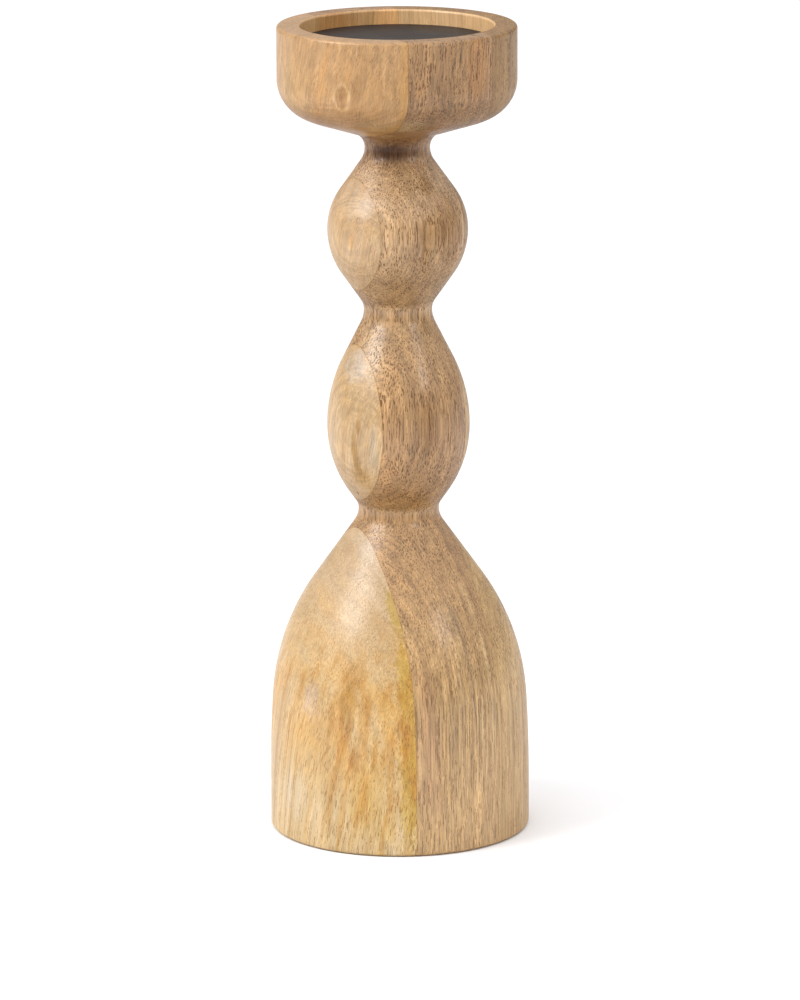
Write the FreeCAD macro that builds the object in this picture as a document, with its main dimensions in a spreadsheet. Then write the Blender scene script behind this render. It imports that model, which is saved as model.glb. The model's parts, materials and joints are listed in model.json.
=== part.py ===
import FreeCAD, Part
import math
import os

import Sketcher

# Candle stand turned in one from three glued planks of pale wood: a bell-shaped base, two beads and a flat
# cup with a metal plate let into its top. Millimetres, +Z up. The origin is on the turning axis, on the
# surface that it stands on. The planks stand upright side by side. The necks are narrower than the core
# plank, so this one runs in one piece from foot to rim, and turning has cut each side plank into four cheeks.

# Driving sizes
SIZES = [
    # Base, from the surface up to its neck
    ("foot_radius", 56.0, "base at the foot"),
    ("foot_round", 1.5, "rounding of the bottom edge"),
    ("base_wall_top", 25.0, "height up to which the wall is upright"),
    ("base_barrel_radius", 525.0, "slow curve that starts the taper"),
    ("base_barrel_turn", 3.6, "degrees that the slow curve turns"),
    ("base_flank", 29.4, "straight length below the neck"),
    ("base_height", 140.5, "surface to the lowest neck"),
    # Lowest neck
    ("low_neck_radius", 17.3, "smallest radius"),
    ("low_neck_cove_below", 10.1, "cove on the base's side"),
    ("low_neck_cove_above", 6.0, "cove on the bead's side"),
    # Lower bead, egg shaped with the blunt end down
    ("low_bead_radius", 30.6, "largest radius"),
    ("low_bead_blunt_height", 36.8, "lowest neck to the widest place"),
    ("low_bead_slim_height", 50.2, "widest place to the middle neck"),
    ("low_bead_blunt_flank", 5.2, "straight length under the bead"),
    ("low_bead_slim_flank", 17.3, "straight length on top of the bead"),
    # Middle neck
    ("mid_neck_radius", 14.6, "smallest radius"),
    ("mid_neck_cove_below", 12.4, "cove on the lower bead's side"),
    ("mid_neck_cove_above", 7.7, "cove on the upper bead's side"),
    # Upper bead
    ("top_bead_radius", 30.0, "largest radius"),
    ("top_bead_lower_height", 34.8, "middle neck to the widest place"),
    ("top_bead_upper_height", 35.2, "widest place to the top neck"),
    ("top_bead_lower_flank", 14.0, "straight length under the bead"),
    ("top_bead_upper_flank", 15.2, "straight length on top of the bead"),
    # Top neck
    ("top_neck_radius", 13.9, "smallest radius"),
    ("top_neck_cove_below", 9.9, "cove on the bead's side"),
    ("top_neck_cove_above", 6.8, "cove on the cup's side"),
    # Cup
    ("recess_radius", 41.1, "recess that takes the plate and the candle"),
    ("recess_depth", 7.4, "rim to the recess floor"),
    ("cup_wall_thickness", 9.9, "recess to the outside of the cup"),
    ("cup_bowl_height", 29.7, "top neck to the foot of the upright wall"),
    ("cup_wall_height", 22.8, "upright wall up to the rim"),
    ("cup_corner_radius", 17.5, "curve from the wall to the underside"),
    ("cup_belly_turn", 12.0, "degrees by which this curve's end is flatter than the line from neck to wall"),
    ("cup_under_flank_share", 0.4187, "straight stretch above the top neck, as a share of that line"),
    ("rim_outer_round", 1.6, "rounding of the rim outside"),
    ("rim_inner_round", 1.1, "rounding of the rim inside"),
    # Planks
    ("core_plank_thickness", 40.0, "middle plank, between the two glue lines"),
    ("plank_turn", 28.3, "degrees that the glue lines stand off the X axis"),
    ("blank_overrun", 4.0, "blank left round the turning"),
    # Plate in the recess
    ("plate_thickness", 1.0, "sheet metal"),
    ("plate_clearance", 0.4, "gap all round the plate"),
    ("plate_edge_round", 0.3, "softened edge"),
    # Felt under the base
    ("foot_ring_width", 8.2, "wood left round the recess in the underside"),
    ("felt_clearance", 0.8, "gap round the felt in its recess"),
    ("felt_recess_depth", 1.2, "recess in the underside"),
    ("felt_stand", 0.3, "felt that stands proud of the foot"),
]
SHEET = "Sizes"


def make_sheet(document):
    """Puts every driving size into one spreadsheet, a row each, with its name as alias."""
    sheet = document.addObject("Spreadsheet::Sheet", SHEET)
    for row, (alias, number, note) in enumerate(SIZES, start=1):
        sheet.set(f"A{row}", alias)
        sheet.set(f"B{row}", str(number))
        sheet.set(f"C{row}", note)
        sheet.setAlias(f"B{row}", alias)
    document.recompute()
    return sheet


def cell(*aliases):
    """An expression that adds up cells of the sheet."""
    return " + ".join(f"{SHEET}.{alias}" for alias in aliases)


def plane_of(body, role):
    """The body's own origin plane with this role."""
    for feature in body.Origin.OriginFeatures:
        if feature.Role == role:
            return feature
    raise RuntimeError(f"{body.Label} has no {role}")


def flank_curve(tip, normal, cove_centre, cove_radius, flank):
    """Convex arc that starts at tip with this outward normal and meets a straight flank, which then runs into
    a cove. Returns the arc's centre and radius, and the direction of the flank's outward normal."""
    tip_to_cove = tip - cove_centre
    along = tip_to_cove.dot(normal)
    radius = (tip_to_cove.dot(tip_to_cove) - flank**2 - cove_radius**2) / (2 * (cove_radius + along))
    centre = tip - normal * radius
    between = cove_centre - centre
    half_turn = math.acos((radius + cove_radius) / between.Length)
    heading = math.atan2(between.y, between.x)
    return centre, radius, heading - math.copysign(half_turn, heading)


def polar(centre, radius, angle):
    """Point at a radius and an angle round a centre."""
    return centre + FreeCAD.Vector(math.cos(angle), math.sin(angle)) * radius


class Outline:
    """Closed outline in a sketch, drawn edge by edge. Each edge starts where the last one ended."""

    START, END, CENTRE = 1, 2, 3
    ORIGIN = (-1, 1)

    def __init__(self, sketch):
        self.sketch = sketch
        self.point = None
        self.first = None
        self.edge = None
        self.tail = None

    def constrain(self, kind, *arguments):
        return self.sketch.addConstraint(Sketcher.Constraint(kind, *arguments))

    def bind(self, kind, name, expression, *arguments):
        """A driving dimension whose value comes from the sheet."""
        number = self.constrain(kind, *arguments)
        self.sketch.renameConstraint(number, name)
        self.sketch.setExpression(f"Constraints.{name}", expression)

    def begin(self, point):
        self.point = point

    def _add(self, geometry, head, tail, smooth):
        edge = self.sketch.addGeometry(geometry, False)
        if self.edge is None:
            self.first = (edge, head)
        else:
            self.constrain("Tangent" if smooth else "Coincident", self.edge, self.tail, edge, head)
        self.edge = edge
        self.tail = tail

    def line(self, end, smooth=False, run=None):
        """Straight edge; run is Horizontal or Vertical where it is either."""
        self._add(Part.LineSegment(self.point, end), self.START, self.END, smooth)
        if run:
            self.constrain(run, self.edge)
        self.point = end

    def arc(self, centre, start_angle, end_angle, smooth=True):
        """Round edge about a centre, either way round."""
        radius = (self.point - centre).Length
        circle = Part.Circle(centre, FreeCAD.Vector(0, 0, 1), radius)
        if end_angle > start_angle:
            self._add(Part.ArcOfCircle(circle, start_angle, end_angle), self.START, self.END, smooth)
        else:
            self._add(Part.ArcOfCircle(circle, end_angle, start_angle), self.END, self.START, smooth)
        self.point = polar(centre, radius, end_angle)

    def radius(self, name, alias):
        """The last round edge takes its radius from the sheet."""
        self.bind("Radius", name, cell(alias), self.edge, self.sketch.Geometry[self.edge].Radius)

    def length(self, name, expression):
        """The last straight edge takes its length from the sheet."""
        self.bind("Distance", name, expression, self.edge, self.sketch.Geometry[self.edge].length())

    def upright_at_end(self):
        """The last round edge ends with its centre level with the end."""
        self.constrain("Horizontal", self.edge, self.CENTRE, self.edge, self.tail)

    def upright_at_start(self):
        """The last round edge starts with its centre level with the start."""
        head = self.END if self.tail == self.START else self.START
        self.constrain("Horizontal", self.edge, self.CENTRE, self.edge, head)

    def place(self, name, across=None, up=None):
        """The end reached so far lies at these sheet sizes from the axis and from the surface."""
        ends = (*self.ORIGIN, self.edge, self.tail)
        if across:
            self.bind("DistanceX", f"{name}_across", across, *ends, self.point.x)
        if up:
            self.bind("DistanceY", f"{name}_up", up, *ends, self.point.y)

    def close(self):
        self.constrain("Coincident", self.edge, self.tail, *self.first)


RIGHT = FreeCAD.Vector(1, 0, 0)
QUARTER = math.pi / 2
FULL_TURN = 360

# The heights of the turned places, each as the sizes that stack up to it
LOW_NECK = ["base_height"]
LOW_BEAD = LOW_NECK + ["low_bead_blunt_height"]
MID_NECK = LOW_BEAD + ["low_bead_slim_height"]
TOP_BEAD = MID_NECK + ["top_bead_lower_height"]
TOP_NECK = TOP_BEAD + ["top_bead_upper_height"]
CUP_WALL = TOP_NECK + ["cup_bowl_height"]
RIM = CUP_WALL + ["cup_wall_height"]

# Sizes that follow from several cells of the sheet
FELT_RECESS = f"{cell('foot_radius')} - {cell('foot_ring_width')}"
CUP_RADIUS = cell("recess_radius", "cup_wall_thickness")
CUP_OVERHANG = f"({CUP_RADIUS} - {cell('top_neck_radius')})"
CUP_BOWL = cell("cup_bowl_height")
CUP_UNDER_FLANK = f"sqrt({CUP_OVERHANG}^2 + {CUP_BOWL}^2) * {cell('cup_under_flank_share')}"
CUP_CORNER_TURN = f"90 deg - atan({CUP_BOWL} / {CUP_OVERHANG}) + {cell('cup_belly_turn')} * 1 deg"


def height(size, stack):
    return sum(size[alias] for alias in stack)


def draw_foot(outline, size):
    """Underside with its felt recess, the rounded bottom edge and the upright wall."""
    lift = size["felt_stand"]
    ceiling = lift + size["felt_recess_depth"]
    foot, edge = size["foot_radius"], size["foot_round"]
    recess = foot - size["foot_ring_width"]
    outline.begin(FreeCAD.Vector(0, ceiling))
    outline.line(FreeCAD.Vector(recess, ceiling), run="Horizontal")
    outline.constrain("Vertical", *outline.first, *Outline.ORIGIN)
    outline.place("felt_recess", FELT_RECESS, cell("felt_stand", "felt_recess_depth"))
    outline.line(FreeCAD.Vector(recess, lift), run="Vertical")
    outline.place("foot", up=cell("felt_stand"))
    outline.line(FreeCAD.Vector(foot - edge, lift), run="Horizontal")
    outline.arc(FreeCAD.Vector(foot - edge, lift + edge), -QUARTER, 0)
    outline.radius("foot_edge", "foot_round")
    outline.line(FreeCAD.Vector(foot, size["base_wall_top"]), smooth=True, run="Vertical")
    outline.place("base_wall", cell("foot_radius"), cell("base_wall_top"))


def draw_bell(outline, size):
    """Base from its upright wall up to the lowest neck."""
    barrel_centre = outline.point - RIGHT * size["base_barrel_radius"]
    turn = math.radians(size["base_barrel_turn"])
    outline.arc(barrel_centre, 0, turn)
    outline.radius("barrel", "base_barrel_radius")
    outline.bind("Angle", "barrel_turn", cell("base_barrel_turn"), outline.edge, turn)
    cove = size["low_neck_cove_below"]
    neck = FreeCAD.Vector(size["low_neck_radius"], height(size, LOW_NECK))
    tip, normal = outline.point, polar(FreeCAD.Vector(), 1, turn)
    centre, _, heading = flank_curve(tip, normal, neck + RIGHT * cove, cove, size["base_flank"])
    outline.arc(centre, turn, heading)
    draw_flank_up_to_neck(outline, neck, "low_neck", "base_flank", cove, heading, LOW_NECK)


def draw_flank_up_to_neck(outline, neck, name, flank, cove, heading, stack):
    """Straight flank that closes in on a neck from below, and the cove that ends in the neck."""
    cove_centre = neck + RIGHT * cove
    outline.line(polar(cove_centre, -cove, heading), smooth=True)
    outline.length(f"{name}_flank_below", cell(flank))
    outline.arc(cove_centre, math.pi + heading, math.pi)
    outline.radius(f"{name}_cove_below", f"{name}_cove_below")
    outline.upright_at_end()
    outline.place(name, cell(f"{name}_radius"), cell(*stack))


def draw_flank_up_from_neck(outline, name, flank, cove, heading, centre, radius):
    """The cove that leaves a neck upwards, and the straight flank that opens out to a convex curve."""
    neck = outline.point
    cove_centre = neck + RIGHT * cove
    outline.arc(cove_centre, math.pi, math.pi + heading, smooth=False)
    outline.radius(f"{name}_cove_above", f"{name}_cove_above")
    outline.upright_at_start()
    outline.line(polar(centre, radius, heading), smooth=True)
    outline.length(f"{name}_flank_above", flank)


def draw_bead(outline, size, bead, flanks, necks, bead_stack, above_stack):
    """Bead from the neck below it to the neck above it. Flanks and necks each name the lower one first."""
    lower_flank, upper_flank = flanks
    below, above = necks
    widest = FreeCAD.Vector(size[f"{bead}_radius"], height(size, bead_stack))
    cove = size[f"{below}_cove_above"]
    cove_centre = outline.point + RIGHT * cove
    centre, radius, heading = flank_curve(widest, RIGHT, cove_centre, cove, size[lower_flank])
    draw_flank_up_from_neck(outline, below, cell(lower_flank), cove, heading, centre, radius)
    outline.arc(centre, heading, 0)
    outline.upright_at_end()
    outline.place(bead, cell(f"{bead}_radius"), cell(*bead_stack))
    neck = FreeCAD.Vector(size[f"{above}_radius"], height(size, above_stack))
    cove = size[f"{above}_cove_below"]
    centre, radius, heading = flank_curve(widest, RIGHT, neck + RIGHT * cove, cove, size[upper_flank])
    outline.arc(centre, 0, heading, smooth=False)
    outline.upright_at_start()
    draw_flank_up_to_neck(outline, neck, above, upper_flank, cove, heading, above_stack)


def draw_cup(outline, size):
    """Cup from the top neck round its underside, up the wall, over the rim and down into the recess."""
    recess = size["recess_radius"]
    cup, corner = recess + size["cup_wall_thickness"], size["cup_corner_radius"]
    overhang, bowl = cup - outline.point.x, size["cup_bowl_height"]
    corner_centre = FreeCAD.Vector(cup - corner, height(size, CUP_WALL))
    corner_angle = math.atan2(bowl, overhang) - math.radians(size["cup_belly_turn"]) - QUARTER
    tip, normal = polar(corner_centre, corner, corner_angle), polar(FreeCAD.Vector(), 1, corner_angle)
    cove = size["top_neck_cove_above"]
    flank = math.hypot(overhang, bowl) * size["cup_under_flank_share"]
    centre, radius, heading = flank_curve(tip, normal, outline.point + RIGHT * cove, cove, flank)
    draw_flank_up_from_neck(outline, "top_neck", CUP_UNDER_FLANK, cove, heading, centre, radius)
    outline.arc(centre, heading, corner_angle)
    outline.arc(corner_centre, corner_angle, 0)
    outline.radius("cup_corner", "cup_corner_radius")
    outline.bind("Angle", "cup_corner_turn", CUP_CORNER_TURN, outline.edge, -corner_angle)
    outline.place("cup_wall", CUP_RADIUS, cell(*CUP_WALL))
    top = height(size, RIM)
    outer, inner = size["rim_outer_round"], size["rim_inner_round"]
    outline.line(FreeCAD.Vector(cup, top - outer), smooth=True, run="Vertical")
    outline.arc(FreeCAD.Vector(cup - outer, top - outer), 0, QUARTER)
    outline.radius("rim_outer", "rim_outer_round")
    outline.line(FreeCAD.Vector(recess + inner, top), smooth=True, run="Horizontal")
    outline.place("rim", up=cell(*RIM))
    outline.arc(FreeCAD.Vector(recess + inner, top - inner), QUARTER, math.pi)
    outline.radius("rim_inner", "rim_inner_round")
    floor = top - size["recess_depth"]
    outline.line(FreeCAD.Vector(recess, floor), smooth=True, run="Vertical")
    outline.place("recess", cell("recess_radius"), f"{cell(*RIM)} - {cell('recess_depth')}")
    outline.line(FreeCAD.Vector(0, floor), run="Horizontal")
    outline.constrain("Vertical", outline.edge, outline.tail, *Outline.ORIGIN)


def draw_turning(sketch, size):
    """The whole outline that the lathe follows, from the axis below to the axis above."""
    outline = Outline(sketch)
    draw_foot(outline, size)
    draw_bell(outline, size)
    flanks = ("low_bead_blunt_flank", "low_bead_slim_flank")
    draw_bead(outline, size, "low_bead", flanks, ("low_neck", "mid_neck"), LOW_BEAD, MID_NECK)
    flanks = ("top_bead_lower_flank", "top_bead_upper_flank")
    draw_bead(outline, size, "top_bead", flanks, ("mid_neck", "top_neck"), TOP_BEAD, TOP_NECK)
    draw_cup(outline, size)
    start = FreeCAD.Vector(0, size["felt_stand"] + size["felt_recess_depth"])
    outline.line(start)
    outline.close()


def turned_body(document, size):
    """The blank of three planks after turning, still as one body."""
    body = document.addObject("PartDesign::Body", "turned_blank")
    sketch = body.newObject("Sketcher::SketchObject", "turning_outline")
    sketch.AttachmentSupport = [(plane_of(body, "YZ_Plane"), "")]
    sketch.MapMode = "FlatFace"
    draw_turning(sketch, size)
    document.recompute()
    if not sketch.FullyConstrained:
        raise RuntimeError("the turning outline isn't fully constrained")
    turning = body.newObject("PartDesign::Revolution", "turning")
    turning.Profile = sketch
    turning.ReferenceAxis = (sketch, ["V_Axis"])
    turning.Angle = FULL_TURN
    document.recompute()
    return body


def slab(document, name, low_x, high_x, low_z, high_z):
    """Stretch of a plank before turning, wider than the base. The four limits are sheet expressions."""
    box = document.addObject("Part::Box", f"{name}_slab")
    half_width = f"({cell('foot_radius', 'blank_overrun')})"
    box.setExpression("Length", f"{high_x} - ({low_x})")
    box.setExpression("Width", f"2 * {half_width}")
    box.setExpression("Height", f"{high_z} - ({low_z})")
    box.setExpression("Placement.Base.x", low_x)
    box.setExpression("Placement.Base.y", f"-{half_width}")
    box.setExpression("Placement.Base.z", low_z)
    return box


def wood_piece(document, turned, name, *limits):
    """What turning leaves of one stretch of a plank. The planks are turned about the axis as a set."""
    piece = document.addObject("Part::Common", name)
    piece.Label = name
    piece.Base = turned
    piece.Tool = slab(document, name, *limits)
    piece.setExpression("Placement.Rotation.Angle", cell("plank_turn"))
    return piece


def wood_pieces(document, turned):
    """The core plank and the four cheeks on each side of it."""
    glue_line = f"({cell('core_plank_thickness')}) / 2"
    blank_side = cell("foot_radius", "blank_overrun")
    blank_top = cell(*RIM, "blank_overrun")
    pieces = [wood_piece(document, turned, "core_plank", f"-{glue_line}", glue_line, "0", blank_top)]
    stretches = [
        ("base_cheek", "0", cell(*LOW_NECK)),
        ("lower_bead_cheek", cell(*LOW_NECK), cell(*MID_NECK)),
        ("upper_bead_cheek", cell(*MID_NECK), cell(*TOP_NECK)),
        ("cup_cheek", cell(*TOP_NECK), blank_top),
    ]
    for name, low, high in stretches:
        left = (f"-({blank_side})", f"-{glue_line}", low, high)
        right = (glue_line, blank_side, low, high)
        pieces.append(wood_piece(document, turned, f"{name}_left", *left))
        pieces.append(wood_piece(document, turned, f"{name}_right", *right))
    return pieces


def disc_sketch(body, name, radius_alias, radius_expression, size_now):
    """Circle about the axis on the body's XY plane."""
    sketch = body.newObject("Sketcher::SketchObject", name)
    sketch.AttachmentSupport = [(plane_of(body, "XY_Plane"), "")]
    sketch.MapMode = "FlatFace"
    circle = Part.Circle(FreeCAD.Vector(), FreeCAD.Vector(0, 0, 1), size_now)
    edge = sketch.addGeometry(circle, False)
    sketch.addConstraint(Sketcher.Constraint("Coincident", edge, Outline.CENTRE, *Outline.ORIGIN))
    number = sketch.addConstraint(Sketcher.Constraint("Radius", edge, size_now))
    sketch.renameConstraint(number, radius_alias)
    sketch.setExpression(f"Constraints.{radius_alias}", radius_expression)
    return sketch


def candle_plate(document, size):
    """Flat round plate that lies loose on the recess floor and keeps wax and heat off the wood."""
    body = document.addObject("PartDesign::Body", "candle_plate")
    body.Label = "candle_plate"
    radius = size["recess_radius"] - size["plate_clearance"]
    radius_expression = f"{cell('recess_radius')} - {cell('plate_clearance')}"
    sketch = disc_sketch(body, "plate_outline", "plate_radius", radius_expression, radius)
    sheet_metal = body.newObject("PartDesign::Pad", "sheet_metal")
    sheet_metal.Profile = sketch
    sheet_metal.setExpression("Length", cell("plate_thickness"))
    document.recompute()
    numbered = enumerate(sheet_metal.Shape.Edges, start=1)
    rims = [f"Edge{number}" for number, edge in numbered if edge.isClosed()]
    softened = body.newObject("PartDesign::Fillet", "softened_edge")
    softened.Base = (sheet_metal, rims)
    softened.setExpression("Radius", cell("plate_edge_round"))
    body.setExpression("Placement.Base.z", f"{cell(*RIM)} - {cell('recess_depth')}")
    return body


def felt_pad(document):
    """Felt disc stuck into the recess of the underside, standing a little proud of the foot."""
    felt = document.addObject("Part::Cylinder", "felt_pad")
    felt.Label = "felt_pad"
    felt.setExpression("Radius", f"{FELT_RECESS} - {cell('felt_clearance')}")
    felt.setExpression("Height", cell("felt_stand", "felt_recess_depth"))
    return felt


def check(document, pieces):
    """Stops with a plain message if any object failed or a piece has no sound shape."""
    for item in document.Objects:
        if {"Invalid", "Error"} & set(item.State):
            raise RuntimeError(f"{item.Label} failed: {item.State}")
    for piece in pieces:
        if piece.Shape.isNull() or not piece.Shape.isValid() or not piece.Shape.Solids:
            raise RuntimeError(f"{piece.Label} has no sound solid")


def main():
    document = FreeCAD.newDocument("CandleStand")
    make_sheet(document)
    size = {alias: number for alias, number, note in SIZES}
    turned = turned_body(document, size)
    pieces = wood_pieces(document, turned)
    pieces.append(candle_plate(document, size))
    pieces.append(felt_pad(document))
    document.recompute()
    check(document, pieces)
    os.makedirs("parts", exist_ok=True)
    for piece in pieces:
        piece.Shape.exportStep(f"parts/{piece.Label}.step")
        box = piece.Shape.BoundBox
        print(f"{piece.Label}: {len(piece.Shape.Solids)} solid, {piece.Shape.Volume:.0f} mm3, "
              f"Z {box.ZMin:.1f} to {box.ZMax:.1f}")


main()
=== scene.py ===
import json
import math
from dataclasses import dataclass

import bpy
from mathutils import Euler, Matrix, Vector

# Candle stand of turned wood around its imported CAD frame
# Metres, +Z up, the viewer of the photograph is at -Y
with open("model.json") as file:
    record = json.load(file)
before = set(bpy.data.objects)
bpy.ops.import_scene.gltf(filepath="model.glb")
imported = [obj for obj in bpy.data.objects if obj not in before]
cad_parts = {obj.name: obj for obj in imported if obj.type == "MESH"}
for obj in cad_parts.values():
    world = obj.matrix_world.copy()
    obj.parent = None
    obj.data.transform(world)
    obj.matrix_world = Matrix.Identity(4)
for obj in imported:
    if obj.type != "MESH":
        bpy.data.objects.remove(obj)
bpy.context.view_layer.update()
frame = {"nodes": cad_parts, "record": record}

# Camera of the photograph, fitted to the stand's outline. Angles in degrees
IMAGE_LONG_SIDE = 1000
FOCAL_PIXELS = 6177
CAMERA_DISTANCE = 2.5838
CAMERA_HEIGHT = 0.7575
CAMERA_PITCH = 13.369
CAMERA_ROLL = 0.239
AXIS_PIXELS_LEFT_OF_MIDDLE = 1.22
SENSOR = 36

WORLD_AT_HORIZON = 0.4
WORLD_OVERHEAD = 1.5
MIDDLE_OF_STAND = Vector((0, 0, 0.18))
FLOOR_SIZE = 16

MM_PER_METRE = 1000


def corners(node):
    """Corners of a node's box in its own coordinates, in mm. A pose doesn't move them."""
    return [MM_PER_METRE * Vector(corner) for corner in frame["nodes"][node].bound_box]


# Sizes of the stand that the wood follows, in mm
STAND_HEIGHT = max(corner.z for corner in corners("core_plank"))
PLATE_UNDERSIDE = min(corner.z for corner in corners("candle_plate"))
PLATE_RADIUS = max(corner.x for corner in corners("candle_plate"))
# As in the CAD source: half the middle plank, and the turn of the glue lines off the X axis
HALF_CORE_PLANK = 20
PLANK_TURN = math.radians(28.3)

# Where something sets in and where it is complete, in mm
# The recess walls and floor, where the paler colour is painted light and the grain is fainter
RECESS_WALL = (PLATE_RADIUS + 1.3, PLATE_RADIUS + 0.6)          # from the stand's axis
GLUE_LINE = (0.22, 0.08)                                        # from the middle of the line
RECESS_FLOOR = (PLATE_UNDERSIDE - 1.6, PLATE_UNDERSIDE - 0.6)   # a height, as the rest are
# Heights where the painted shade of undersides sets in above the foot, and where the painted shade of tops
# eases off towards the rim
UNDERSIDE_SHADE_HEIGHTS = (3, 12)
TOP_SHADE_EASING = (STAND_HEIGHT - 50, STAND_HEIGHT - 10)
PORES_SHAKEN = (STAND_HEIGHT - 54, STAND_HEIGHT - 38)

# Size of the parts of the grain across the fibre and along it, in mm
WAVE = (40, 150)
WIGGLE = (4, 9)
SHAKE = (1.1, 2.0)
STRAND = (4, 200)
STRING = (1.4, 50)
FIBRE = (0.55, 26)
CROWD = (4, 12)
# Spacing of the pale dashes and of the pores, in mm
PALE_CELL = 1.9
COARSE_CELL = 0.95
FINE_CELL = 0.62
# Strength of the fine pores, and sizes of pores in sparse and in crowded places as shares of the plank's
FINE_SHARE = 0.7
PORE_SIZES = (0.65, 1.4)
# Share of a pore that is full, and where a pale dash sets in and is full, in cells from its middle
PORE_CORE = 0.6
PALE_EDGE = (0.22, 0.1)

# How far a wave, a wiggle and a shake push the grain sideways, in mm
WAVE_PUSH = 4
WIGGLE_PUSH = 0.45
SHAKE_PUSH = 0.65
# Share of the wiggle that the loops follow, and of the shake that the pores below the cup follow
LOOP_WIGGLE = 0.25
LOW_SHAKE = 0.5

# Growth layers change along the plank and up by these shares of their change from ring to ring
LAYER_ALONG = 0.1
LAYER_UP = 0.03
LOOP_ALONG = 0.06
LOOP_UP = 0.05
THIN_LAYERS_PER_RING = 3.2
LOOPS_PER_MM = 1.6

# Lengths over which markings fade, in mm
STRAND_FADE = 35
LOOP_FADE_UP = 40
LOOP_FADE_OUT = 7
STREAK_RISE = 25
STREAK_FALL = 20
# Share of a streak's width that is full, and of its strength that is left where it is broken
STREAK_CORE = 0.2
STREAK_LEFT = 0.4
# Share of the strands that is left high up, and of the grain that is lost in the recess
FAINT_STRANDS = 0.2
GRAIN_LOST = 0.75

# A patch that reaches less far than this doesn't follow the wiggle, in mm
SMALL_PATCH = 3
# How far the fibre strings tear the edge of a patch, as a share of its reach
RAGGED_PATCH = 0.9
RAGGED_SMUDGE = 0.4

# Values of a noise that are taken as its darkest and its lightest
NOISE_RANGE = (0.3, 0.7)
LAYER_RANGE = (0.32, 0.68)
LOOP_RANGE = (0.36, 0.62)
BREAK_RANGE = (0.25, 0.6)

# Colours that multiply the wood's own
PALE_DASH_TINT = (1.12, 1.2, 1.34)
GLUE_TINT = (0.8, 0.72, 0.52)
# Painted shade on surfaces that face down and on those that face up
PAINTED_UNDERSIDE_SHADE = (0.7, 0.65, 0.56)
PAINTED_TOP_SHADE = (0.78, 0.76, 0.74)

# How far a surface faces up, from -1 to 1, where the painted shade sets in and where it is complete
FACING_DOWN = (-0.1, -0.85)
FACING_UP = (0.75, 0.98)
# Share of the painted shade that is left at the foot and at the rim
FOOT_SHADE_LEFT = 0.2
RIM_SHADE_LEFT = 0.45

# Satin lacquer. Its gloss goes from the first value on top to the second on the underside
SPECULAR = (0.4, 0.25)
COAT = (0.6, 0.28)
DULL_BELOW = (-0.05, -0.6)
SEEN_EDGE_ON = (0.3, 0.85)
COAT_ROUGHNESS = 0.2
WOOD_ROUGHNESS = 0.42
PORE_ROUGHNESS = 0.25
# The fibre's relief as a share of the pores' depth, and that depth in metres
FIBRE_RELIEF = 0.4
PORE_DEPTH = 0.0002


# Camera, floor and light

def make_camera():
    camera = bpy.data.objects.new("camera", bpy.data.cameras.new("camera"))
    bpy.context.collection.objects.link(camera)
    camera.data.sensor_width = SENSOR
    camera.data.lens = SENSOR * FOCAL_PIXELS / IMAGE_LONG_SIDE
    camera.data.shift_x = AXIS_PIXELS_LEFT_OF_MIDDLE / IMAGE_LONG_SIDE
    camera.location = (0, -CAMERA_DISTANCE, CAMERA_HEIGHT)
    look_down = Euler((math.radians(90 - CAMERA_PITCH), 0, 0)).to_matrix()
    roll = Matrix.Rotation(math.radians(-CAMERA_ROLL), 3, "Z")
    camera.rotation_euler = (look_down @ roll).to_euler()
    bpy.context.scene.camera = camera


def softbox(name, azimuth, elevation, distance, width, height, power):
    """Area light that faces the stand. Azimuth is seen from the viewer, positive to the right."""
    turn, lift = math.radians(azimuth), math.radians(elevation)
    direction = Vector((math.sin(turn) * math.cos(lift), -math.cos(turn) * math.cos(lift), math.sin(lift)))
    data = bpy.data.lights.new(name, "AREA")
    data.shape = "RECTANGLE"
    data.size, data.size_y = width, height
    data.energy = power
    light = bpy.data.objects.new(name, data)
    light.location = MIDDLE_OF_STAND + direction * distance
    light.rotation_euler = (-direction).to_track_quat("-Z", "Y").to_euler()
    bpy.context.collection.objects.link(light)


def light_studio():
    """Soft room that is dimmer to the sides than overhead, and a softbox each side."""
    world = bpy.data.worlds.new("studio")
    world.use_nodes = True
    nodes, links = world.node_tree.nodes, world.node_tree.links
    direction = nodes.new("ShaderNodeTexCoord")
    height = nodes.new("ShaderNodeSeparateXYZ")
    strength = nodes.new("ShaderNodeMapRange")
    strength.inputs["To Min"].default_value = WORLD_AT_HORIZON
    strength.inputs["To Max"].default_value = WORLD_OVERHEAD
    links.new(direction.outputs["Generated"], height.inputs[0])
    links.new(height.outputs["Z"], strength.inputs["Value"])
    links.new(strength.outputs[0], nodes["Background"].inputs["Strength"])
    nodes["Background"].inputs["Color"].default_value = (1, 1, 1, 1)
    bpy.context.scene.world = world
    softbox("softbox_left", azimuth=-66, elevation=38, distance=1.3, width=0.75, height=0.65, power=10.4)
    softbox("softbox_right", azimuth=52, elevation=30, distance=1.6, width=0.45, height=0.45, power=3)
    bpy.context.scene.view_settings.view_transform = "Standard"


# Materials

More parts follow.
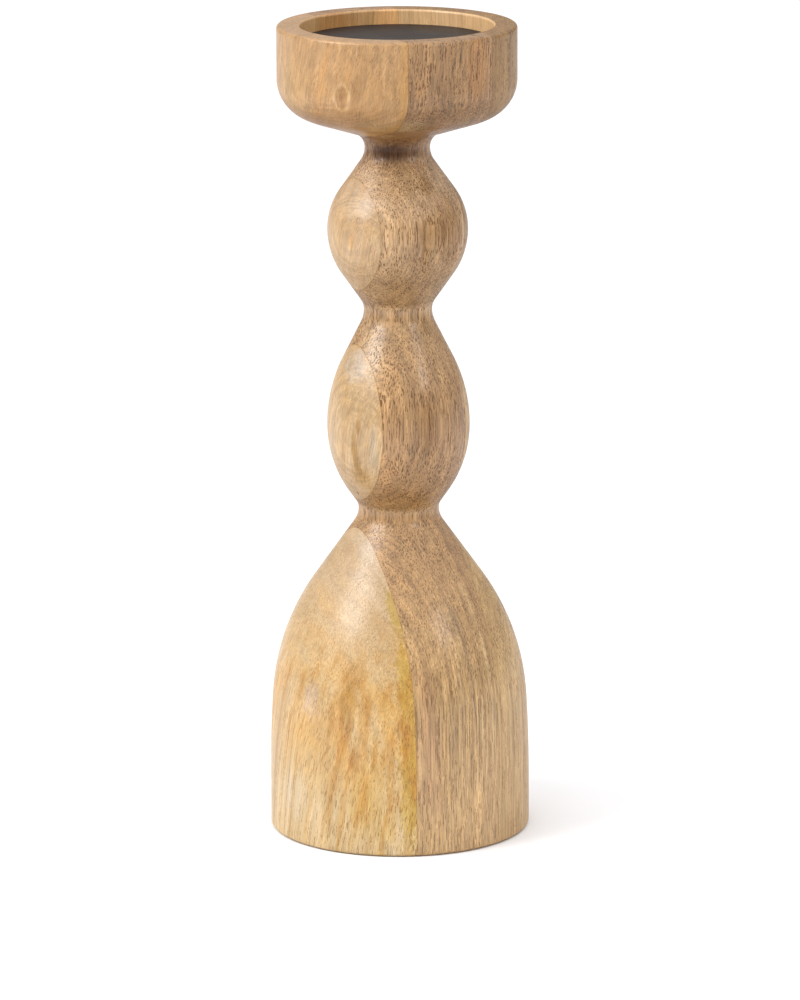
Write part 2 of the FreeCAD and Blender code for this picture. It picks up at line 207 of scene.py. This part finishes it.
class Tree:
    """The nodes of one material. An input is either another node's socket or a fixed value."""

    def __init__(self, name):
        self.material = bpy.data.materials.new(name)
        self.material.use_nodes = True
        self.nodes = self.material.node_tree.nodes
        self.shader = self.nodes["Principled BSDF"]

    def put(self, socket, value):
        if isinstance(value, bpy.types.NodeSocket):
            self.material.node_tree.links.new(value, socket)
        else:
            socket.default_value = value

    def shade(self, **inputs):
        """Set inputs of the shader, named as in Blender with _ for a space."""
        for name, value in inputs.items():
            self.put(self.shader.inputs[name.replace("_", " ")], value)

    def add(self, kind, inputs, output=0, **settings):
        node = self.nodes.new("ShaderNode" + kind)
        for key, value in settings.items():
            setattr(node, key, value)
        for socket, value in inputs.items():
            self.put(node.inputs[socket], value)
        return node.outputs[output]

    def math(self, operation, first, second=0.0, third=0.0):
        return self.add("Math", {0: first, 1: second, 2: third}, operation=operation)

    def times(self, first, *others):
        """Product of shares."""
        for other in others:
            first = self.math("MULTIPLY", first, other)
        return first

    def away_from(self, value, middle):
        return self.math("ABSOLUTE", self.math("SUBTRACT", value, middle))

    def vector(self, operation, first, second=(0, 0, 0), third=(0, 0, 0)):
        output = "Value" if operation == "LENGTH" else "Vector"
        return self.add("VectorMath", {0: first, 1: second, 2: third}, output, operation=operation)

    def scaled(self, vector, factor):
        return self.add("VectorMath", {0: vector, "Scale": factor}, operation="SCALE")

    def stretched(self, place, size):
        """The place in units of a size across the fibre and one along it."""
        across, along = size
        return self.vector("DIVIDE", place, (across, across, along))

    def noise(self, vector, scale=1.0, detail=2.0, roughness=0.5, output=0):
        inputs = {"Vector": vector, "Scale": scale, "Detail": detail, "Roughness": roughness}
        return self.add("TexNoise", inputs, output)

    def spots(self, place, cell):
        """Distance to the nearest of many scattered upright lines, in cells."""
        inputs = {"Vector": self.stretched(place, (cell, 1)), "Scale": 1.0}
        return self.add("TexVoronoi", inputs, voronoi_dimensions="2D")

    def between(self, value, low, high, to_low=0.0, to_high=1.0):
        """Smooth step from to_low to to_high as value goes from low to high."""
        inputs = {"Value": value, "From Min": low, "From Max": high, "To Min": to_low, "To Max": to_high}
        return self.add("MapRange", inputs, interpolation_type="SMOOTHSTEP")

    def swing(self, noise, noise_range, contrast):
        """A grey round 1 that follows a noise."""
        return self.between(noise, *noise_range, 1 - contrast, 1 + contrast)

    def mix(self, share, first, second, blend="MIX"):
        return self.add("Mix", {0: share, 6: first, 7: second}, 2, data_type="RGBA", blend_type=blend)

    def ramp(self, value, stops):
        """Colour from a list of (position, colour)."""
        node = self.nodes.new("ShaderNodeValToRGB")
        self.put(node.inputs[0], value)
        elements = node.color_ramp.elements
        while len(elements) < len(stops):
            elements.new(1)
        for element, (position, colour) in zip(elements, stops):
            element.position = position
            element.color = (*colour, 1)
        return node.outputs[0]

    def two_tones(self, noise, dark, light):
        return self.ramp(noise, list(zip(NOISE_RANGE, (dark, light))))

    def bump(self, height, strength, distance):
        return self.add("Bump", {"Height": height, "Strength": strength, "Distance": distance})


@dataclass
class Patch:
    """A spot of other colour: an ellipsoid with soft, ragged edges, in the plank's own frame in mm."""
    middle: tuple
    reach: tuple
    tint: tuple
    soft: float = 0.6   # share of the reach over which it fades
    dull: float = 0.0   # share of the gloss that a smudge takes away


@dataclass
class Streak:
    """A growth layer of other colour, at a distance from the pith and between two heights, in mm."""
    distance: float
    width: float
    low: float
    high: float
    tint: tuple


@dataclass
class Plank:
    """One plank's wood. Lengths in mm, in its own frame: across its thickness, along its width, up."""
    pith: tuple             # middle of the growth rings
    ring: float             # mean width of a ring
    lean_low: tuple         # how far the pores lean per mm of height, at the foot
    lean_high: tuple        # and at the rim
    ground: list            # colour at heights given as shares of the stand's
    recess_painted_light: tuple           # colour in the recess, paler than the wood outside as painted light
    layers: list            # tint from one ring zone to the next
    strands: list           # tint from one strand to the next
    strands_to: float       # height above which the strands are fainter
    layer_contrast: float   # between thin growth layers
    string_contrast: float  # between strings of fibre
    fibre: float            # contrast of the fine fibre
    loops: float            # contrast of the finest growth layers, which show as loops on the beads
    loops_from: float       # height above which they show
    loops_beyond: float     # distance from the pith beyond which they show
    edge_gloss: float       # share of the gloss that is left where the surface is seen edge on
    pore_tint: tuple
    pore_share: list        # how strongly pores darken, at heights given as shares of the stand's
    pore_size: float        # share of a cell that a pore fills
    pale_dashes: float      # strength of the pale dashes between the pores
    streaks: list
    patches: list


PLANKS = {
    "wood_left": Plank(
        pith=(37, 14), ring=6.5, lean_low=(0.0, -0.19), lean_high=(0.0, -0.34),
        ground=[
            (0.0, (0.545, 0.375, 0.175)), (0.2, (0.52, 0.33, 0.135)), (0.33, (0.45, 0.3, 0.155)),
            (0.55, (0.475, 0.305, 0.145)), (0.75, (0.46, 0.295, 0.15)), (0.88, (0.38, 0.2, 0.064)),
            (1.0, (0.415, 0.233, 0.092)),
        ],
        recess_painted_light=(0.6, 0.36, 0.16),
        layers=[
            (0.25, (0.93, 0.87, 0.76)), (0.42, (0.99, 0.98, 0.94)),
            (0.55, (1.03, 1.05, 1.1)), (0.75, (1.07, 1.0, 0.84)),
        ],
        strands=[(0.35, (0.9, 0.77, 0.5)), (0.48, (1.0, 1.0, 1.0)), (0.66, (1.05, 1.11, 1.28))],
        strands_to=100, layer_contrast=0.075, string_contrast=0.07, fibre=0.09,
        loops=0.135, loops_from=150, loops_beyond=65, edge_gloss=0.55,
        pore_tint=(0.58, 0.44, 0.22),
        pore_share=[(0, 1), (0.25, 0.65), (0.5, 0.5), (0.8, 0.5), (1, 0.6)],
        pore_size=0.19, pale_dashes=0.6,
        streaks=[
            Streak(89.5, 2.2, 30, 84, (1.0, 0.86, 0.5)),
            Streak(95.5, 3.5, 20, 70, (1.02, 0.9, 0.62)),
        ],
        patches=[
            # Yellow band beside the seam of the base
            Patch((-21, -45, 50), (6.5, 14, 60), (0.95, 0.86, 0.36), 0.4),
            Patch((-20, -33, 98), (4.5, 9, 24), (0.92, 0.88, 0.42), 0.4),
            Patch((-22.5, -50, 30), (6, 8, 34), (0.93, 0.86, 0.5), 0.5),
            Patch((-25, -47, 58), (3, 4, 9), (0.86, 0.74, 0.6), 0.6),
            # Pale and ochre flames of the base
            Patch((-52, -17, 65), (5, 6, 12), (1.03, 1.1, 1.55), 0.5),
            Patch((-42, -32.5, 66), (7, 5.5, 25), (0.78, 0.66, 0.4), 0.8),
            Patch((-38.5, -39, 60), (5, 3.2, 20), (0.88, 0.77, 0.52), 0.7),
            Patch((-54, -8, 22), (7, 12, 16), (1.04, 1.12, 1.35), 0.6),
            Patch((-42, -37, 42), (3, 5, 7), (0.86, 0.74, 0.52), 0.6),
            Patch((-35, -42, 30), (10, 9, 30), (0.95, 0.88, 0.62), 0.8),
            Patch((-40, -38.5, 24), (9, 7, 20), (1.0, 0.96, 0.74), 0.7),
            Patch((-31, -46.5, 12), (6, 5, 10), (0.97, 0.92, 0.68), 0.7),
            Patch((-42.5, -33.5, 66), (5, 5, 9), (0.98, 0.94, 0.76), 0.7),
            Patch((-20, -9, 128), (6, 10, 12), (0.98, 1.06, 1.25), 0.6),
            # Lower bead, with its ochre heart
            # Pale top of the lower bead, partly the wood and partly a painted highlight
            Patch((-24, -5, 208), (5, 9, 13), (0.98, 1.15, 1.66), 0.5),
            Patch((-26, -8, 198), (5, 5, 8), (1.06, 1.08, 1.12), 0.7),
            Patch((-27.5, -11.8, 168), (6, 2.4, 17), (0.74, 0.62, 0.3), 0.7),
            Patch((-27, -14, 181), (4, 1.1, 4), (0.84, 0.72, 0.42), 0.6),
            Patch((-25, -12, 158), (6, 7, 8), (0.85, 0.74, 0.42), 0.8),
            Patch((-22, -19, 172), (3, 4, 16), (0.92, 1.0, 1.15), 0.6),
            Patch((-22.2, -4.4, 150), (0.8, 0.7, 2.4), (0.4, 0.28, 0.16), 0.5),
            # Upper bead
            Patch((-29, -11, 261), (3, 4, 6), (0.98, 0.88, 0.7), 0.7),
            # Pale upper left of the upper bead, partly the wood and partly a painted highlight around the
            # lamp's
            Patch((-25, -5, 278), (9, 15, 14), (1.12, 1.22, 1.42), 0.7),
            Patch((-21.5, 0, 285), (6, 9, 6), (1.1, 1.18, 1.36), 0.7),
            Patch((-29, 2, 258), (6, 12, 13), (0.96, 0.94, 0.84), 0.7),
            # Cup
            Patch((-48, 0, 328), (10, 17, 22), (1.07, 1.14, 1.18), 0.7),
            Patch((-28, -34, 313), (9, 9, 6), (1.03, 1.15, 1.45), 0.7),
            # Painted shade under the left of the cup
            Patch((-43, -11, 314.5), (10, 16, 6), (0.84, 0.78, 0.56), 0.7),
            Patch((-24, -40, 316), (6, 6, 6), (1.14, 1.22, 1.5), 0.7),
            Patch((-22, -19, 307), (6, 8, 5), (1.25, 1.35, 1.5), 0.7),
            Patch((-21, -46, 330), (2.4, 7, 28), (1.17, 1.17, 1.03), 0.5),
            # Knot on the cup: a pale ring, its inside and its heart
            Patch((-42, -28.8, 326.4), (4.7, 4.7, 7.2), (1.28, 1.44, 1.75), 0.25),
            Patch((-42, -28.8, 326.0), (3.4, 3.4, 5.7), (0.74, 0.64, 0.52), 0.3),
            Patch((-42, -28.8, 325.8), (1.0, 1.0, 3.4), (0.88, 0.76, 0.62), 0.6),
        ],
    ),
    "wood_core": Plank(
        pith=(-120, -90), ring=4.6, lean_low=(0.03, 0.07), lean_high=(0.03, 0.05),
        ground=[
            (0.0, (0.52, 0.325, 0.145)), (0.2, (0.475, 0.29, 0.12)), (0.34, (0.405, 0.228, 0.09)),
            (0.5, (0.39, 0.217, 0.09)), (0.62, (0.39, 0.225, 0.094)), (0.7, (0.395, 0.24, 0.11)),
            (0.75, (0.43, 0.255, 0.117)), (0.82, (0.5, 0.315, 0.16)), (0.86, (0.35, 0.19, 0.085)),
            (0.9, (0.3, 0.16, 0.063)), (1.0, (0.36, 0.197, 0.077)),
        ],
        recess_painted_light=(0.56, 0.32, 0.13),
        layers=[
            (0.22, (0.8, 0.77, 0.75)), (0.42, (0.95, 0.94, 0.93)),
            (0.58, (1.03, 1.03, 1.02)), (0.78, (1.1, 1.14, 1.18)),
        ],
        strands=[(0.34, (0.87, 0.85, 0.83)), (0.5, (1.0, 1.0, 1.0)), (0.66, (1.07, 1.08, 1.11))],
        strands_to=400, layer_contrast=0.12, string_contrast=0.12, fibre=0.15,
        loops=0.13, loops_from=0, loops_beyond=0, edge_gloss=0.45,
        pore_tint=(0.39, 0.28, 0.12),
        pore_share=[(0, 0.75), (0.3, 0.75), (0.42, 1), (1, 1)],
        pore_size=0.23, pale_dashes=0.5,
        streaks=[
            Streak(142.6, 1.8, 25, 122, (1.18, 1.28, 1.4)),
            Streak(136.0, 2.0, 10, 80, (1.06, 1.12, 1.22)),
            Streak(132.4, 1.2, 40, 118, (0.66, 0.68, 0.78)),
            Streak(126.0, 1.0, 20, 92, (0.74, 0.74, 0.8)),
            Streak(112.0, 6.0, 10, 90, (0.9, 0.84, 0.9)),
        ],
        patches=[
            # Base and lowest neck
            Patch((-3, -54.5, 55), (5, 5, 40), (0.86, 0.87, 0.88), 0.7),
            Patch((3, -43.5, 98), (5, 6, 12), (0.88, 0.9, 0.92), 0.7),
            Patch((8, -55, 20), (7, 6, 16), (1.14, 1.13, 1.12), 0.7),
            Patch((0, 0, 144.5), (40, 40, 6), (1.1, 1.14, 1.15), 0.8),
            # Lower bead
            Patch((-17.5, -21, 160), (6, 9, 16), (1.2, 1.2, 1.18), 0.7),
            Patch((-2.5, -30, 184), (5, 6, 22), (0.84, 0.81, 0.77), 0.7, 0.3),
            Patch((15, -27, 186), (9, 11, 24), (0.84, 0.82, 0.79), 0.8),
            Patch((-19.6, -20.9, 191.9), (0.7, 0.9, 2.2), (0.36, 0.22, 0.12), 0.4),
            Patch((-18, -18, 196), (6, 12, 26), (1.12, 1.14, 1.16), 0.7),
            Patch((-14, -19, 205), (5, 9, 22), (1.16, 1.15, 1.12), 0.7),
            # Painted highlight: the core beside the seam is paled where the lamp's highlight spreads
            Patch((-18, -9, 211), (7, 11, 14), (1.25, 1.4, 1.7), 0.8),
            Patch((-16, -1, 221.5), (5, 8, 6), (1.22, 1.28, 1.35), 0.7),
            Patch((5.5, -15, 222), (5, 6, 7), (0.8, 0.78, 0.72), 0.7, 0.3),
            # Upper bead
            Patch((-18, -9, 238), (7, 10, 8), (1.2, 1.2, 1.15), 0.7),
            Patch((-7, -28, 256), (5, 6, 9), (0.84, 0.8, 0.76), 0.8),
            Patch((-19, -20, 265), (8, 13, 26), (1.16, 1.2, 1.28), 0.7),
            Patch((-1.5, -28, 265), (5, 7, 22), (0.8, 0.77, 0.73), 0.7, 0.6),
            Patch((4, -28.5, 266), (6, 7, 16), (0.76, 0.72, 0.68), 0.8, 0.5),
            Patch((11, -26, 266), (10, 13, 30), (0.8, 0.76, 0.72), 0.8, 0.5),
            Patch((2.5, -21, 283), (5, 6, 9), (0.78, 0.74, 0.7), 0.7, 0.6),
            Patch((-16, -6, 287), (6, 10, 8), (1.16, 1.22, 1.36), 0.7),
            Patch((-15.5, -4, 290), (6, 7, 5.5), (1.16, 1.18, 1.26), 0.6),
            # Dark smudge on the top neck under the cup, partly a real stain and partly painted shade
            Patch((-8, -10, 297.6), (20, 18, 7.1), (0.2, 0.13, 0.07), 0.85, 0.6),
            # Cup
            Patch((-17, -19, 307), (6, 8, 5), (1.25, 1.35, 1.5), 0.7),
            Patch((-15.5, -41, 313), (10, 10, 6), (1.3, 1.6, 2.1), 0.7),
            Patch((12, -45, 315.5), (12, 6, 5), (1.18, 1.26, 1.25), 0.7),
            Patch((-2, -48, 323), (8, 8, 9), (0.88, 0.88, 0.86), 0.8),
            Patch((-16, -48, 331), (3, 4, 8), (1.1, 1.08, 1.04), 0.7),
            Patch((-8.5, -50, 333), (4, 5, 17), (0.85, 0.85, 0.85), 0.7),
            Patch((12, -50, 338), (8, 8, 20), (1.2, 1.08, 0.86), 0.6),
            # Back wall of the recess
            Patch((-9, 40, 345), (14, 10, 9), (0.9, 0.78, 0.62), 0.5),
            Patch((16.5, 38, 345), (8.5, 8, 9), (1.34, 1.3, 1.3), 0.5),
        ],
    ),
    "wood_right": Plank(
        pith=(150, -70), ring=3.6, lean_low=(0.0, 0.04), lean_high=(0.0, 0.03),
        ground=[
            (0.0, (0.46, 0.285, 0.115)), (0.3, (0.45, 0.28, 0.11)), (0.6, (0.4, 0.24, 0.1)),
            # Darker towards the top: partly the wood's tone and partly painted shade on the right of the cup
            (0.85, (0.31, 0.17, 0.053)), (1.0, (0.29, 0.15, 0.035)),
        ],
        recess_painted_light=(0.68, 0.43, 0.21),
        layers=[
            (0.22, (0.8, 0.78, 0.74)), (0.42, (0.95, 0.94, 0.94)),
            (0.58, (1.03, 1.03, 1.02)), (0.78, (1.08, 1.1, 1.14)),
        ],
        strands=[(0.34, (0.86, 0.83, 0.8)), (0.5, (1.0, 1.0, 1.0)), (0.66, (1.07, 1.09, 1.12))],
        strands_to=400, layer_contrast=0.1, string_contrast=0.09, fibre=0.12,
        loops=0.06, loops_from=0, loops_beyond=0, edge_gloss=0.35,
        pore_tint=(0.5, 0.36, 0.22),
        pore_share=[(0, 0.8), (0.8, 1)],
        pore_size=0.21, pale_dashes=0.3,
        streaks=[],
        # Black speck near the rim
        patches=[Patch((29.5, -41.6, 346.6), (0.6, 0.6, 0.6), (0.05, 0.04, 0.04), 0.4)],
    ),
}


class Wood(Tree):
    """The wood of one plank. Each step lays a tint over the colour, in the plank's own frame in mm."""

    def __init__(self, name, plank):
        super().__init__(name)
        self.plank = plank
        self.find_place()
        self.bend_grain()
        self.colour = self.ground_colour()
        self.lay_layers()
        self.lay_loops()
        self.lay_streaks()
        gloss = self.lay_patches()
        self.lay_fibre()
        self.lay_pores()
        self.lay_glue_lines()
        facing = self.lay_painted_facing_shade()
        self.lacquer(gloss, facing)

    def lay(self, share, tint):
        """Multiply the colour by a tint or a grey, as far as share says."""
        tint = (*tint, 1) if isinstance(tint, tuple) else tint
        self.colour = self.mix(share, self.colour, tint, "MULTIPLY")

    def find_place(self):
        """The place in the plank's own frame, its height, and how calm the wood is there."""
        place = self.scaled(self.add("TexCoord", {}, "Object"), MM_PER_METRE)
        self.place = self.add("VectorRotate", {"Vector": place, "Angle": -PLANK_TURN}, rotation_type="Z_AXIS")
        self.height = self.add("SeparateXYZ", {0: self.place}, "Z")
        self.height_share = self.math("DIVIDE", self.height, STAND_HEIGHT)
        from_axis = self.vector("LENGTH", self.vector("MULTIPLY", self.place, (1, 1, 0)))
        inside_wall = self.between(from_axis, *RECESS_WALL)
        # Mask of the recess, where the colour is painted light
        self.recess_painted_light = self.times(inside_wall, self.between(self.height, *RECESS_FLOOR))
        self.calm = self.math("MULTIPLY_ADD", self.recess_painted_light, -GRAIN_LOST, 1.0)

    def pushed(self, size, push, detail):
        """Sideways shift by up to push, which wanders with the place."""
        wander = self.noise(self.stretched(self.place, size), detail=detail, output="Color")
        return self.vector("MULTIPLY_ADD", wander, (2 * push, 2 * push, 0), (-push, -push, 0))

    def from_pith(self, point):
        flat = self.vector("MULTIPLY", self.vector("SUBTRACT", point, (*self.plank.pith, 0)), (1, 1, 0))
        return self.vector("LENGTH", flat)

    def bend_grain(self):
        """The place as the leaning, waved and wiggled grain has it."""
        plank = self.plank
        lean = self.scaled((*plank.lean_low, 0), self.height)
        more = [(high - low) / (2 * STAND_HEIGHT) for low, high in zip(plank.lean_low, plank.lean_high)]
        bend = self.scaled((*more, 0), self.times(self.height, self.height))
        upright = self.vector("SUBTRACT", self.vector("SUBTRACT", self.place, lean), bend)
        wave = self.pushed(WAVE, WAVE_PUSH, detail=1)
        self.wiggle = self.pushed(WIGGLE, WIGGLE_PUSH, detail=2)
        self.wiggled = self.vector("ADD", self.place, self.wiggle)
        self.grain = self.vector("ADD", self.vector("ADD", upright, wave), self.wiggle)
        self.along = self.add("SeparateXYZ", {0: self.grain}, "Y")

    def layer_place(self, distance, along, up):
        """A place in the growth layers, which change mostly with the distance from the pith."""
        inputs = {0: distance, 1: self.times(self.along, along), 2: self.times(self.height, up)}
        return self.add("CombineXYZ", inputs)

    def ground_colour(self):
        ground = self.ramp(self.height_share, self.plank.ground)
        # The paler recess colour is painted light, standing in for the light that falls into the recess
        return self.mix(self.recess_painted_light, ground, (*self.plank.recess_painted_light, 1))

    def lay_layers(self):
        """Broad and thin growth layers, strands and strings of fibre."""
        plank = self.plank
        layers = self.layer_place(self.from_pith(self.grain), LAYER_ALONG, LAYER_UP)
        broad = self.noise(layers, scale=1 / plank.ring)
        self.lay(self.calm, self.ramp(broad, plank.layers))
        strand = self.noise(self.stretched(self.grain, STRAND))
        top = plank.strands_to
        fading = self.between(self.height, top - STRAND_FADE, top, 1.0, FAINT_STRANDS)
        self.lay(self.times(self.calm, fading), self.ramp(strand, plank.strands))
        self.thin = self.noise(layers, scale=THIN_LAYERS_PER_RING / plank.ring, detail=3, roughness=0.65)
        self.lay(self.calm, self.swing(self.thin, LAYER_RANGE, plank.layer_contrast))
        self.string = self.noise(self.stretched(self.grain, STRING), detail=3, roughness=0.6)
        self.lay(self.calm, self.swing(self.string, LAYER_RANGE, plank.string_contrast))

    def lay_loops(self):
        """The finest growth layers. They darken by their contrast and lighten by half of it."""
        plank = self.plank
        shift = (LOOP_WIGGLE, LOOP_WIGGLE, 0)
        distance = self.from_pith(self.vector("MULTIPLY_ADD", self.wiggle, shift, self.place))
        place = self.layer_place(distance, LOOP_ALONG, LOOP_UP)
        loop = self.noise(place, scale=LOOPS_PER_MM, roughness=0.6)
        high = self.between(self.height, plank.loops_from - LOOP_FADE_UP, plank.loops_from)
        far = self.between(distance, plank.loops_beyond - LOOP_FADE_OUT, plank.loops_beyond)
        grey = self.between(loop, *LOOP_RANGE, 1 - plank.loops, 1 + plank.loops / 2)
        self.lay(self.times(self.calm, high, far), grey)

    def lay_streaks(self):
        distance = self.from_pith(self.wiggled)
        for streak in self.plank.streaks:
            off = self.away_from(distance, streak.distance)
            inside = self.between(off, streak.width, STREAK_CORE * streak.width)
            rise = self.between(self.height, streak.low, streak.low + STREAK_RISE)
            fall = self.between(self.height, streak.high, streak.high - STREAK_FALL)
            broken = self.between(self.thin, *BREAK_RANGE, STREAK_LEFT, 1.0)
            self.lay(self.times(inside, rise, fall, broken), streak.tint)

    def lay_patches(self):
        """Lays the patches, and returns the share of the gloss that they leave."""
        gloss = 1.0
        for patch in self.plank.patches:
            place = self.place if max(patch.reach) < SMALL_PATCH else self.wiggled
            off = self.vector("DIVIDE", self.vector("SUBTRACT", place, patch.middle), patch.reach)
            ragged = RAGGED_SMUDGE if patch.dull else RAGGED_PATCH
            inner = self.math("SUBTRACT", self.vector("LENGTH", off), ragged / 2)
            torn = self.math("MULTIPLY_ADD", self.string, ragged, inner)
            share = self.between(torn, 1.0, 1.0 - patch.soft)
            self.lay(share, patch.tint)
            if patch.dull:
                gloss = self.times(gloss, self.math("MULTIPLY_ADD", share, -patch.dull, 1.0))
        return gloss

    def lay_fibre(self):
        """Fine fibre, and pale dashes between the pores."""
        self.fibre = self.noise(self.stretched(self.grain, FIBRE), roughness=0.6)
        self.lay(1.0, self.swing(self.fibre, NOISE_RANGE, self.plank.fibre))
        spots = self.spots(self.grain, PALE_CELL)
        self.lay(self.between(spots, *PALE_EDGE, 0.0, self.plank.pale_dashes), PALE_DASH_TINT)

    def lay_pores(self):
        """Pores are upright tubes, so they show as dots on a slope and as dashes on an upright surface."""
        strong = self.between(self.height, *PORES_SHAKEN, LOW_SHAKE, 1.0)
        shake = self.scaled(self.pushed(SHAKE, SHAKE_PUSH, detail=1), strong)
        shaken = self.vector("ADD", self.grain, shake)
        crowd = self.noise(self.stretched(self.grain, CROWD), detail=3)
        small, large = (share * self.plank.pore_size for share in PORE_SIZES)
        edge = self.between(crowd, *NOISE_RANGE, small, large)
        core = self.times(edge, PORE_CORE)
        coarse = self.between(self.spots(shaken, COARSE_CELL), edge, core)
        fine = self.between(self.spots(shaken, FINE_CELL), edge, core, 0.0, FINE_SHARE)
        greys = [(height, (share, share, share)) for height, share in self.plank.pore_share]
        strength = self.ramp(self.height_share, greys)
        self.pore = self.times(self.math("MAXIMUM", coarse, fine), strength, self.calm)
        self.lay(self.pore, self.plank.pore_tint)

    def lay_glue_lines(self):
        across = self.math("ABSOLUTE", self.add("SeparateXYZ", {0: self.place}, "X"))
        self.lay(self.between(self.away_from(across, HALF_CORE_PLANK), *GLUE_LINE), GLUE_TINT)

    def lay_painted_facing_shade(self):
        """Painted shade: darkens surfaces that face down and, more weakly, those that face up, for how the
        light falls on them. Returns how far the surface faces up.
        """
        facing = self.add("SeparateXYZ", {0: self.add("NewGeometry", {}, "Normal")}, "Z")
        low = self.between(self.height, *UNDERSIDE_SHADE_HEIGHTS, FOOT_SHADE_LEFT, 1.0)
        self.lay(self.times(self.between(facing, *FACING_DOWN), low), PAINTED_UNDERSIDE_SHADE)
        high = self.between(self.height, *TOP_SHADE_EASING, 1.0, RIM_SHADE_LEFT)
        self.lay(self.times(self.between(facing, *FACING_UP), high), PAINTED_TOP_SHADE)
        return facing

    def lacquer(self, gloss, facing):
        """Satin lacquer, duller on the underside, on smudges and where it is seen edge on."""
        edge = self.add("LayerWeight", {"Blend": 0.5}, "Facing")
        gloss = self.times(self.between(edge, *SEEN_EDGE_ON, 1.0, self.plank.edge_gloss), gloss)
        relief = self.math("MULTIPLY_ADD", self.fibre, FIBRE_RELIEF, self.times(self.pore, -1.0))
        bump = self.bump(relief, strength=0.3, distance=PORE_DEPTH)
        self.shade(
            Base_Color=self.colour,
            Roughness=self.math("MULTIPLY_ADD", self.pore, PORE_ROUGHNESS, WOOD_ROUGHNESS),
            Normal=bump,
            Specular_IOR_Level=self.times(self.between(facing, *DULL_BELOW, *SPECULAR), gloss),
            Coat_Weight=self.times(self.between(facing, *DULL_BELOW, *COAT), gloss),
            Coat_Roughness=COAT_ROUGHNESS,
            Coat_Normal=bump,
        )


def plate_coating():
    """Satin, almost black, with faint mottling and a fine grain."""
    tree = Tree("plate_coating")
    place = tree.add("TexCoord", {}, "Object")
    mottle = tree.noise(place, scale=60, detail=3)
    grain = tree.noise(place, scale=900, detail=4)
    tree.shade(
        Base_Color=tree.two_tones(mottle, dark=(0.018, 0.013, 0.011), light=(0.026, 0.02, 0.018)),
        Roughness=tree.between(mottle, *NOISE_RANGE, to_low=0.42, to_high=0.52),
        Normal=tree.bump(grain, strength=0.1, distance=0.0001),
        Specular_IOR_Level=0.1,
    )
    return tree.material


def felt_cloth():
    """Brown fuzz."""
    tree = Tree("felt_cloth")
    fuzz = tree.noise(tree.add("TexCoord", {}, "Object"), scale=1500, detail=6, roughness=0.7)
    tree.shade(
        Base_Color=tree.two_tones(fuzz, dark=(0.03, 0.02, 0.013), light=(0.075, 0.05, 0.033)),
        Roughness=1,
        Normal=tree.bump(fuzz, strength=0.8, distance=0.0004),
        Sheen_Weight=0.3,
    )
    return tree.material


def floor_white():
    """Matt white, faintly cool, that the light turns to plain white."""
    tree = Tree("floor_white")
    speck = tree.noise(tree.add("TexCoord", {}, "Object"), scale=40)
    tree.shade(
        Base_Color=tree.two_tones(speck, dark=(0.915, 0.92, 0.94), light=(0.93, 0.935, 0.955)),
        Roughness=1,
        Specular_IOR_Level=0,
    )
    return tree.material


def dress(node, material):
    mesh = frame["nodes"][node].data
    mesh.materials.clear()
    mesh.materials.append(material)


def make_floor():
    bpy.ops.mesh.primitive_plane_add(size=FLOOR_SIZE)
    floor = bpy.context.object
    floor.name = "floor"
    floor.data.materials.append(floor_white())


make_camera()
make_floor()
light_studio()

finishes = {slot: Wood(slot, plank).material for slot, plank in PLANKS.items()}
finishes["plate_metal"] = plate_coating()
finishes["felt"] = felt_cloth()
for part in frame["record"]["subparts"]:
    dress(part["node"], finishes[part["material_slot"]])
